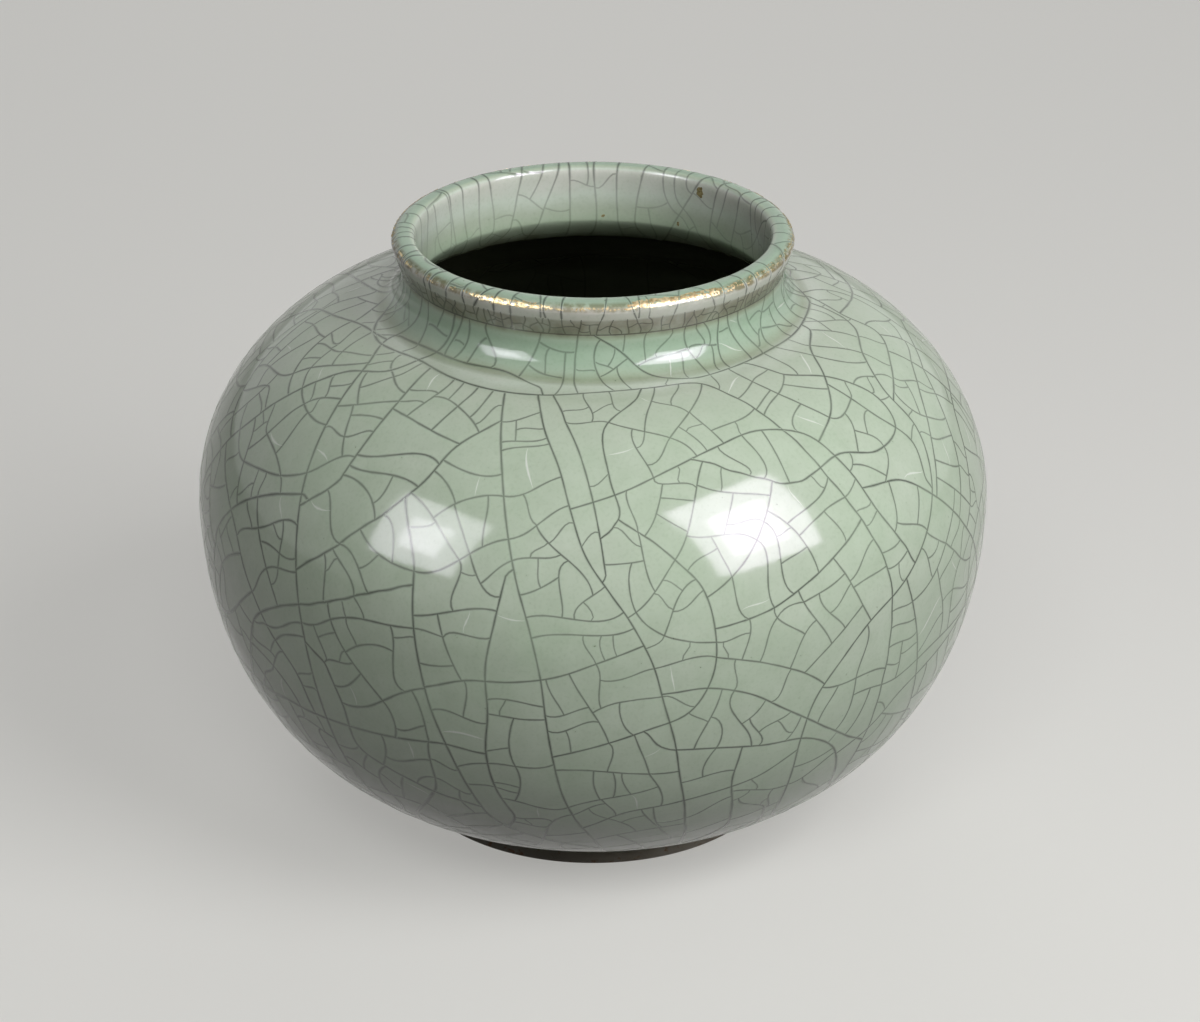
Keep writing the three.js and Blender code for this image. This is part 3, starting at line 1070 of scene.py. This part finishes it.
# How wide the stain of a crack is, and how deep its colour
opening_stops = [
    (glaze_edge, 1.5), ((80.0, 24.0), 1.4), (belt, 1.0), ((80.0, 138.0), 1.0), (ridge, 1.0),
    ((52.3, 156.0), 1.1), (neck_corner, 0.85), (lip_edge, 1.0), ((50.5, 169.05), 1.1), (mouth_top, 0.75),
    (floor_edge, 0.75),
]
stain_stops = [
    (glaze_edge, 1.0), ((62.0, 148.0), 0.95), ((52.3, 156.0), 0.8), (lip_edge, 1.0), ((50.5, 169.05), 1.0),
    (mouth_top, 0.6), (mouth_seam, 0.4), (floor_edge, 0.4),
]
# The map carries the glaze's thickness and its painted shade and grime, inside and out
face_columns = {}
for name, stops in (("glaze_thickness", thickness_stops), ("soiling", soiling_stops)):
    inside_values = value_along(glazed_inside, inner_face_values[name])[inside_rows]
    face_columns[name] = np.concatenate([value_along(glazed_outside, stops), inside_values])
glaze_chart = flat_map(
    whole_face,
    cell_size=value_along(whole_face, cell_size_stops),
    ease=value_along(whole_face, ease_stops),
    opening=value_along(whole_face, opening_stops),
    stain=value_along(whole_face, stain_stops),
    **face_columns,
)


def climb_at(spot):
    """The climb of the glazed face at its nearest point to a radius and height."""
    return glaze_chart["climb"][np.linalg.norm(whole_face - np.array(spot), axis=1).argmin()]


# The long cracks that give this jar its pattern at the front, oldest first, as they run in the photograph.
# Each point is an angle from the front towards the right, in degrees, and a length up the face from the
# glaze's edge
long_cracks = [
    [(87.2, 192.3), (76.4, 192.5), (64.1, 192.2), (51.7, 192.4), (39.5, 191.7), (29, 190.9)],
    [(-58.2, 188), (-47.3, 189.4), (-35, 187.3), (-23.1, 186.1), (-11.2, 186.6), (0.9, 188.6), (13.4, 189.4),
     (25.3, 188.6), (31.5, 179.6)],
    [(-61.5, 193.5), (-50, 194.7), (-36.7, 194.5), (-23.5, 194.7), (-13.2, 190.1)],
    [(60.6, 181.6), (52.2, 185.8), (41.5, 185.8), (34.1, 179.9)],
    [(78.1, 178.1), (69.9, 173.5), (64.3, 163.4), (64.1, 150), (60.8, 137.9), (56, 127.6), (50.6, 119.4),
     (46.9, 115.2), (41.1, 109.8), (36.2, 101.5), (32.2, 91.5), (30.9, 79), (31.2, 66.3), (32, 53.6),
     (33.2, 42.6)],
    [(90.8, 192.2), (83.9, 182.9), (82.7, 172.2), (73.8, 166.2), (66.3, 161)],
    [(-19.7, 183.4), (-17.4, 171.9), (-14.9, 158.9), (-12.8, 145.9), (-10.7, 132.9), (-8.5, 120.3),
     (-7, 107.2), (-6.3, 93.8), (-5.5, 80.5), (-4.4, 67.1), (-2.7, 55.6)],
    [(-11.8, 183.8), (-9.2, 173.8), (-5.7, 162.6), (-3.4, 151), (-1.1, 139.6), (2.4, 129.8), (5.1, 122.2),
     (7.9, 111), (9.6, 98.6), (11.3, 86.2), (12.5, 73.5), (14, 60.9), (15.1, 49.8)],
    [(-2.2, 152.1), (4.9, 156), (13, 161.3), (21.7, 165.8), (30.9, 168.2), (39.6, 163.4), (43.6, 151.4),
     (45.7, 138.2), (48.6, 127.5)],
    [(69.1, 189), (60.5, 184.9), (54.4, 175.7), (48.7, 166.9), (42.7, 161.2)],
    [(47.7, 181.2), (55.4, 175), (60.7, 164.2), (59.4, 154), (51.7, 151.2), (44, 154.9), (37.1, 152.5)],
    [(54, 170.2), (56.7, 159.7), (60.6, 148.5), (59, 138.5)],
    [(64.2, 123), (59.4, 132.4), (53.2, 141.4), (46, 144)],
    [(-61.4, 202.1), (-63.1, 191.2), (-56.8, 180.2), (-53.4, 167.9), (-51, 155.2), (-48.8, 142.5),
     (-46.5, 130), (-44.7, 117.3), (-43.5, 104.4), (-42.5, 91.4), (-41.7, 78.3), (-41.3, 66.8)],
    [(-44.6, 203.4), (-46.8, 192.7), (-49.9, 182), (-58.5, 175.3), (-63.4, 166.4)],
    [(-42, 186.1), (-41.1, 174), (-41.5, 160.2), (-42.4, 148.2)],
    [(-19.2, 174), (-24.5, 165.4), (-27.6, 154.2), (-31.7, 144.9)],
    [(-25.4, 130.3), (-24.8, 118.9), (-23.8, 105.9), (-22.5, 93.1), (-20.6, 80.5), (-18.8, 67.9),
     (-17.1, 56.7)],
    [(5.7, 115.3), (0.7, 111.6), (-5, 107.3), (-11, 105), (-17.1, 104), (-22.1, 100.6)],
    [(-12.1, 133.3), (-13.2, 121.6), (-14.4, 108.3), (-14.3, 94.8), (-15, 81.4), (-14.3, 68), (-12.4, 56.7)],
    [(-5.6, 177.5), (-2.6, 168.1), (-0.4, 156.6), (1, 144.7), (1.8, 134.5)],
    [(9.2, 184.4), (2.2, 174.8), (2.7, 160.4), (4.1, 150.8), (2.9, 146.4)],
    [(11.5, 137.8), (15.1, 129.8), (16.5, 118.3), (16.2, 106), (13.1, 95.5), (7.2, 90.8), (1.1, 86.4),
     (-4.3, 82.9)],
    [(31.5, 85.3), (27, 91.4), (21.8, 98.2), (15.8, 102.1), (10.4, 101.9)],
    [(43.8, 48.2), (41.3, 59.5), (37.7, 71.1), (31.8, 78.4), (24.7, 80.1), (17.6, 82.3), (11.4, 83.5)],
    [(21.2, 78.9), (20.8, 68.3), (22.3, 56.2), (23.6, 45.7)],
    [(29.7, 73.4), (24.8, 67.8), (18.2, 64.6), (11.5, 61.8), (4.8, 59), (-0.1, 52.7)],
    [(49.5, 111.3), (51.7, 98.6), (53.9, 84.1), (55.9, 71.3)],
    [(61, 86.1), (56, 83.8), (50.3, 80), (45.7, 72.7), (41.3, 68.3)],
    [(-46.3, 77.5), (-40.8, 78.4), (-34.5, 79.4), (-28.1, 80.6), (-21.8, 82.2), (-18.9, 81.9)],
    [(-39.4, 96.7), (-37.4, 85.5), (-36.6, 72), (-31.2, 66)],
    [(-43.6, 112.9), (-49.1, 108.2), (-54.9, 100.6), (-57.9, 90.2)],
    [(-48.3, 140.5), (-54.9, 136), (-61.6, 128.6), (-66.8, 118.1), (-69.1, 107.9)],
    [(-66, 127.9), (-60.7, 121.1), (-56.3, 110.4), (-51.7, 99.8), (-46.4, 90.4), (-44.5, 80.5)],
    [(-64.9, 189.3), (-74.9, 186.9), (-84.6, 180.9), (-93.4, 174.4), (-97.3, 165.3)],
]


def smooth_course(points):
    """A curve through a few points, whose spans leave and arrive along their neighbours' chord."""
    angle, length = np.transpose(points)
    reach = along(glazed_outside)
    climb = np.interp(length, reach, glaze_chart["climb"][:len(reach)])
    knots = np.stack([np.radians(angle - 90), climb], axis=1)
    pull = np.gradient(knots, axis=0)
    t = np.linspace(0, 1, 8)[:-1, None]
    spans = [hermite(t, *span) for span in zip(knots[:-1], pull[:-1], knots[1:], pull[1:])]
    return settled(np.vstack([*spans, knots[-1:]]))


corner_climb, lip_climb, throat_climb = (climb_at(spot) for spot in (neck_corner, lip_edge, throat))
# The net of the body starts a little above the glaze's rolled edge, with the set courses in it
low_climb, top_climb = glaze_chart["climb"][[2, -1]]
courses = [smooth_course(points) for points in long_cracks]
body_cracks, body_cells, body_arrivals = crackle(
    glaze_chart, low_climb, corner_climb, spread=0.6, carry_on=0.45, courses=courses,
)
stained_crack = make_celadon("celadon glaze, cracked and stained", cracked=True)
put_cracks("body_crackle", glaze_chart, body_cracks)

# A few cells have begun to crack again: young cracks that no stain has reached catch the light as pale lines
faint_generation = 6
faint_share = 0.3
large_cell = 0.8
faint_cracks = []
for cell in body_cells:
    if crowd_in(glaze_chart, cell) > large_cell and random.random() < faint_share:
        broken = split_cell(glaze_chart, cell, ())
        if broken is not None:
            faint_cracks.append((faint_generation, broken[0]))
put_cracks("faint_crackle", glaze_chart, faint_cracks, paleness=0.9, taper=4.0)

# The grimy underside of the lip has a close net of its own, and a few of its cracks carry on over the roll
neck_step = 0.4
ring_points = 320
under_cracks, _, under_arrivals = crackle(
    glaze_chart, corner_climb, lip_climb, spread=0.45, carry_on=0.4, arrivals=body_arrivals,
)
upper_cracks, _, _ = crackle(
    glaze_chart, lip_climb, top_climb, spread=0.55, carry_on=0.5, arrivals=under_arrivals,
)
corner_ring = np.stack([np.linspace(0, 2 * math.pi, ring_points), np.full(ring_points, corner_climb)], axis=1)
neck_cracks, inside_cracks = [], []
for generation, crack in [(0, corner_ring), *under_cracks, *upper_cracks]:
    if crack[:, 1].min() < throat_climb:
        neck_cracks.append((generation, finer(glaze_chart, crack, neck_step)))
    else:
        inside_cracks.append((generation, crack))
put_cracks("neck_crackle", glaze_chart, neck_cracks)
put_cracks("inside_crackle", glaze_chart, inside_cracks)

# Under the foot the net stops short of the very middle and of the upright end of the fillet
base_cell_size = 90.0
base_line = glazed_base[1:-6]
even = np.ones(len(base_line))
base_chart = flat_map(
    base_line,
    cell_size=base_cell_size * even,
    ease=even,
    opening=even,
    stain=even,
    glaze_thickness=base_thickness * even,
    soiling=0 * even,
)
base_cracks, _, _ = crackle(base_chart, 0.0, base_chart["climb"][-1], spread=0.6, carry_on=0.4)
put_cracks("base_crackle", base_chart, base_cracks)

# Iron spots
# Grains of iron in the clay have burnt through the glaze inside the mouth: one runny olive brown spot and
# two specks. They are the only warm colour there.

spot_top = 0.044
spot_rim = 0.6
spot_points = 36

# Each spot's angle from the front towards the right, in degrees, its radius and height, and half its width
# and height in millimetres
iron_spots = [
    (141.4, (48.2, 165.2), 1.4, 1.35),
    (176.5, (48.2, 153.8), 0.5, 0.4),
    (149.9, (48.2, 154.1), 0.45, 0.55),
]


def spot_on_glaze(side, climb, half_width, half_height):
    """A thin ragged disc on the glaze: its rim wavers by three waves, and its foot lies in the glaze."""
    turn = np.linspace(0, 2 * math.pi, spot_points, endpoint=False)
    phase = random.uniform(0, 2 * math.pi, 3)
    ragged = 1 + 0.22 * np.sin(2 * turn + phase[0]) + 0.13 * np.sin(5 * turn + phase[1])
    ragged += 0.08 * np.sin(9 * turn + phase[2])
    scale = read(glaze_chart, "radius", climb)
    angles = math.radians(side - 90) + np.append(half_width * ragged * np.cos(turn), 0) / scale
    climbs = climb + np.append(half_height * ragged * np.sin(turn), 0) / scale
    centre, normal = on_face(glaze_chart, angles, climbs)
    lift = np.append(np.full(spot_points, spot_rim), 1.0)[:, None] * spot_top
    vertices = np.vstack([centre + normal * lift, centre - normal * crack_depth])
    here = np.arange(spot_points)
    following = np.roll(here, -1)
    middle = np.full(spot_points, spot_points)
    below = spot_points + 1
    faces = [
        *np.stack([here, following, middle], axis=1).tolist(),
        *np.stack([following, here, here + below, following + below], axis=1).tolist(),
        *np.stack([following + below, here + below, middle + below], axis=1).tolist(),
    ]
    return vertices, faces


# Iron burnt through the glaze: olive brown and a little duller than the gloss round it
iron_brown = new_material("iron spot, burnt through the glaze")
rust_size = 0.6
rust = noise(iron_brown, rust_size, detail=2.0)
end_in_surface(iron_brown, {
    "Base Color": ramp(iron_brown, rust, (0.35, "776A44"), (0.65, "A39868")),
    "Roughness": 0.35,
    "IOR": 1.5,
})

spot_vertices, spot_faces = [], []
for side, place, half_width, half_height in iron_spots:
    vertices, faces = spot_on_glaze(side, climb_at(place), half_width, half_height)
    start = sum(len(part) for part in spot_vertices)
    spot_vertices.append(vertices)
    spot_faces += [[start + k for k in face] for face in faces]
iron = put_in_scene("iron_spots", np.vstack(spot_vertices), spot_faces, iron_brown)

# Lip gilding
# Leaf gold laid on the outer edge of the rolled lip and fired. Handling has worn it to bright patches at
# the front and thin ragged rests elsewhere, and it has parted along the cracks.

leaf_columns = 1440
leaf_rows = 15
leaf_low = 4.0
leaf_high = 74.0
leaf_over = 0.12
leaf_under = 0.03
leaf_parting = 0.2
leaf_fade = 9
wave_count = 60

# The share of the band that still holds gold, and the band's lower and upper edge in degrees up the roll,
# by the angle from the front towards the right
leaf_by_side = [
    (-180, 0.35, 12, 52), (-120, 0.3, 10, 52), (-90, 0.07, 10, 50), (-36, 0.07, 8, 45), (-31, 0.7, 6, 48),
    (-16, 0.85, 6, 48), (-11, 0.3, 10, 34), (8, 0.3, 12, 40), (13, 0.85, 16, 70), (29, 0.85, 18, 72),
    (38, 0.32, 14, 60), (60, 0.12, 10, 60), (110, 0.16, 10, 55), (180, 0.35, 12, 52),
]


def wave_noise(along_rim, up_roll, waves):
    """A smooth noise over the roll: many sine waves, their sum ranked so that it spreads evenly from 0 to 1.

    Each wave's turns round the rim are whole, so that it closes, and its heights are drawn up to a steep
    slope, so patches lie long.
    """
    total = np.zeros(along_rim.shape)
    for turns, steepness, phase, size in waves:
        total += size * np.sin(turns * along_rim + steepness * up_roll + phase)
    ranks = np.empty(total.size)
    ranks[np.argsort(total, axis=None, kind="stable")] = np.arange(total.size) / total.size
    return ranks.reshape(total.shape)


leaf_turn = np.linspace(0, 2 * math.pi, leaf_columns, endpoint=False)
leaf_angle = np.linspace(leaf_low, leaf_high, leaf_rows)
cell_turn = leaf_turn + math.pi / leaf_columns
turn_grid, angle_grid = np.meshgrid(cell_turn, (leaf_angle[1:] + leaf_angle[:-1]) / 2)
side_stops, *leaf_stops = np.transpose(leaf_by_side)
cover, band_low, band_high = (np.interp(to_the_right(cell_turn), side_stops, stops) for stops in leaf_stops)
wear_waves = np.stack([
    np.round(np.exp(random.uniform(math.log(12), math.log(420), wave_count))),
    random.uniform(-0.45, 0.45, wave_count),
    random.uniform(0, 2 * math.pi, wave_count),
    random.uniform(0.5, 1.0, wave_count),
], axis=1)
edge_fade = np.clip(np.minimum(angle_grid - band_low, band_high - angle_grid) / leaf_fade, 0, 1)
has_leaf = wave_noise(turn_grid, angle_grid, wear_waves) < cover * edge_fade

# The leaf has parted where a crack of the glaze runs under it
roll_cracks = np.vstack([crack for _, crack in neck_cracks])
crack_height = read(glaze_chart, "height", roll_cracks[:, 1])
crack_radius = read(glaze_chart, "radius", roll_cracks[:, 1])
on_the_roll = (crack_height > lip_side[1] - 0.5) & (crack_radius > crest[0] - 0.5)
crack_up, crack_out = crack_height[on_the_roll] - lip_side[1], crack_radius[on_the_roll] - crest[0]
crack_turn = np.mod(roll_cracks[on_the_roll, 0], 2 * math.pi)
turn_apart = np.abs(turn_grid.ravel()[:, None] - crack_turn[None])
turn_apart = np.minimum(turn_apart, 2 * math.pi - turn_apart) * lip_side[0]
crack_angle = np.degrees(np.arctan2(crack_up, crack_out))
angle_apart = np.radians(angle_grid.ravel()[:, None] - crack_angle[None]) * (lip_side[0] - crest[0])
nearest_crack = np.hypot(turn_apart, angle_apart).min(axis=1).reshape(turn_grid.shape)
has_leaf &= nearest_crack > leaf_parting

# Two patches never touch at a corner alone: one of the empty places between them is filled
lower, upper = slice(None, -1), slice(1, None)
for _ in range(4):
    for one, other in ((lower, upper), (upper, lower)):
        right = np.roll(has_leaf, -1, axis=1)
        has_leaf[other] |= has_leaf[one] & right[other] & ~right[one] & ~has_leaf[other]

angle_up = np.radians(leaf_angle)[:, None]
roll_way = unit(np.stack([
    np.cos(angle_up) / (lip_side[0] - crest[0]),
    np.sin(angle_up) / (crest[1] - lip_side[1]),
], axis=-1))


def leaf_layer(lift):
    """The corners of the leaf's grid at a lift above the glaze of the roll."""
    radius, height = np.moveaxis(roll_point(angle_up) + roll_way * lift, -1, 0)
    return round_the_axis(radius, height, leaf_turn).reshape(-1, 3)


leaf_corners = np.vstack([leaf_layer(leaf_over - crack_room), leaf_layer(-leaf_under - crack_room)])
below_layer = leaf_rows * leaf_columns
corner = np.arange(below_layer).reshape(leaf_rows, leaf_columns)
next_corner = np.roll(corner, -1, axis=1)
low_left, low_right = corner[:-1], next_corner[:-1]
high_left, high_right = corner[1:], next_corner[1:]
empty = ~has_leaf
none_there = np.ones((1, leaf_columns), bool)


def leaf_walls(open_beside, first, second):
    """A wall down through the leaf along each edge that has leaf on one side and is open beside it."""
    mask = has_leaf & open_beside
    a, b = first[mask], second[mask]
    return np.stack([b, a, a + below_layer, b + below_layer], axis=1)


leaf_faces = np.concatenate([
    np.stack([low_left, low_right, high_right, high_left], axis=-1)[has_leaf],
    np.stack([high_left, high_right, low_right, low_left], axis=-1)[has_leaf] + below_layer,
    leaf_walls(np.vstack([none_there, empty[:-1]]), low_left, low_right),
    leaf_walls(np.vstack([empty[1:], none_there]), high_right, high_left),
    leaf_walls(np.roll(empty, -1, axis=1), low_right, high_right),
    leaf_walls(np.roll(empty, 1, axis=1), high_left, low_left),
])
kept_corners, leaf_faces = np.unique(leaf_faces, return_inverse=True)
leaf_faces = leaf_faces.reshape(-1, 4).tolist()

# Worn leaf gold, fired on: a soft metal shine that breaks into grains where the leaf is rubbed thin
worn_gold = new_material("leaf gold, fired on and worn")
rub_size = 1.2
grain_size = 0.35
grain_depth = 0.05
rub = noise(worn_gold, rub_size, detail=3.0)
grain = noise(worn_gold, grain_size, detail=2.0)
dulled = add_node(worn_gold, "ShaderNodeMapRange", {"Value": rub, "To Min": 0.48, "To Max": 0.28})
end_in_surface(worn_gold, {
    "Base Color": ramp(worn_gold, rub, (0.38, "9A8A62"), (0.6, "D4C59C")),
    "Metallic": 1.0,
    "Roughness": dulled.outputs["Result"],
    "Normal": bump(worn_gold, grain, strength=0.6, depth=grain_depth),
})

lip_gilding = put_in_scene("worn_lip_gilding", leaf_corners[kept_corners], leaf_faces, worn_gold)
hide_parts("lip_gilding")

# Camera, lamps and floor
# A pale floor, a large soft lamp to the right of the camera, a weaker one to the left, and faint fills in
# front and behind. The camera is the one fitted to the photograph.

camera_distance = 1.0
camera_pitch = math.radians(25.66)
aim_height = 0.08372
image_width = 1200
focal_pixels = 3546.8
axis_column = 592.8
sensor_width = 36.0

camera = bpy.data.objects.new("camera", bpy.data.cameras.new("camera"))
bpy.context.scene.collection.objects.link(camera)
camera.location = (
    0,
    -camera_distance * math.cos(camera_pitch),
    aim_height + camera_distance * math.sin(camera_pitch),
)
camera.rotation_euler = (math.pi / 2 - camera_pitch, 0, 0)
camera.data.sensor_width = sensor_width
camera.data.lens = focal_pixels * sensor_width / image_width
camera.data.shift_x = (image_width / 2 - axis_column) / image_width
bpy.context.scene.camera = camera

# Each soft box faces the jar from an azimuth off the camera's side towards +X and an elevation, in degrees,
# at a distance and with a width and a height in metres and a power in watts. The cards and their brighter
# cores are only seen mirrored in the glaze, and the other boxes only light it
white = (1.0, 1.0, 1.0)
rose = (0.95, 0.84, 1.0)
lilac = (0.95, 0.91, 1.0)
soft_boxes = [
    ("right soft box", 51.5, 36.9, 1.2, 0.62, 0.72, 9.8, white, "visible_glossy"),
    ("right card", 51.5, 36.9, 1.19, 0.66, 0.76, 15.0, rose, "visible_diffuse"),
    ("left card", -52.4, 31.5, 1.4, 0.66, 0.7, 9.5, lilac, "visible_diffuse"),
    ("right core", 50.5, 36.0, 1.18, 0.34, 0.4, 3.2, rose, "visible_diffuse"),
    ("left core", -52.0, 31.0, 1.39, 0.3, 0.34, 1.9, lilac, "visible_diffuse"),
    ("front fill", -6.0, 44.0, 1.6, 0.8, 0.5, 7.4, white, "visible_glossy"),
    ("back fill", 180.0, 30.0, 1.5, 0.8, 0.5, 3.0, white, "visible_glossy"),
]
for name, azimuth, elevation, distance, width, height, power, colour, hidden_from in soft_boxes:
    lamp = bpy.data.objects.new(name, bpy.data.lights.new(name, "AREA"))
    bpy.context.scene.collection.objects.link(lamp)
    a, e = math.radians(azimuth), math.radians(elevation)
    lamp.location = (
        distance * math.sin(a) * math.cos(e),
        -distance * math.cos(a) * math.cos(e),
        aim_height + distance * math.sin(e),
    )
    lamp.rotation_euler = (math.pi / 2 - e, 0, a)
    lamp.data.shape = "RECTANGLE"
    lamp.data.size = width
    lamp.data.size_y = height
    lamp.data.energy = power
    lamp.data.color = colour
    setattr(lamp, hidden_from, False)


def larger(owner, one, other):
    """The larger of two values of a material or the world."""
    return add_node(owner, "ShaderNodeMath", {0: one, 1: other}, operation="MAXIMUM").outputs[0]


world = bpy.data.worlds.new("studio")
world.use_nodes = True
world.node_tree.nodes.clear()
bpy.context.scene.world = world
ray = add_node(world, "ShaderNodeLightPath").outputs
sky_strength = add_node(world, "ShaderNodeMapRange", {
    "Value": larger(world, ray["Is Camera Ray"], ray["Is Glossy Ray"]),
    "To Min": 0.03,
    "To Max": 0.9,
})
sky = add_node(world, "ShaderNodeBackground", {
    "Color": srgb("F1F1EF"),
    "Strength": sky_strength.outputs["Result"],
})
add_node(world, "ShaderNodeOutputWorld", {"Surface": sky.outputs["Background"]})

# Painted studio floor: pale to the camera and in reflections, and dark to the light it would throw back
studio_floor = new_material("painted floor")
pale_paint = srgb("E6E5E1")
dark_paint = srgb("2A2A2A")
glow = 0.45
ray = add_node(studio_floor, "ShaderNodeLightPath").outputs
seen = larger(studio_floor, ray["Is Camera Ray"], ray["Is Glossy Ray"])
seen = larger(studio_floor, seen, ray["Is Transmission Ray"])
paint_colour = mixed(studio_floor, seen, dark_paint, pale_paint)
paint = add_node(studio_floor, "ShaderNodeBsdfDiffuse", {"Color": paint_colour})
floor_glow = add_node(studio_floor, "ShaderNodeEmission", {"Color": pale_paint, "Strength": 1.0})
floor_mix = add_node(studio_floor, "ShaderNodeMixShader", {
    "Fac": add_node(studio_floor, "ShaderNodeMath", {0: seen, 1: glow}, operation="MULTIPLY").outputs[0],
    1: paint.outputs["BSDF"],
    2: floor_glow.outputs["Emission"],
})
add_node(studio_floor, "ShaderNodeOutputMaterial", {"Surface": floor_mix.outputs["Shader"]})

floor_reach = 6.0
floor_mesh = bpy.data.meshes.new("floor")
floor_corners = [(floor_reach * x, floor_reach * y, 0) for x, y in ((-1, -1), (1, -1), (1, 1), (-1, 1))]
floor_mesh.from_pydata(floor_corners, [], [(0, 1, 2, 3)])
floor_mesh.materials.append(studio_floor)
floor = bpy.data.objects.new("floor", floor_mesh)
bpy.context.scene.collection.objects.link(floor)

bpy.context.scene.view_settings.view_transform = "Standard"
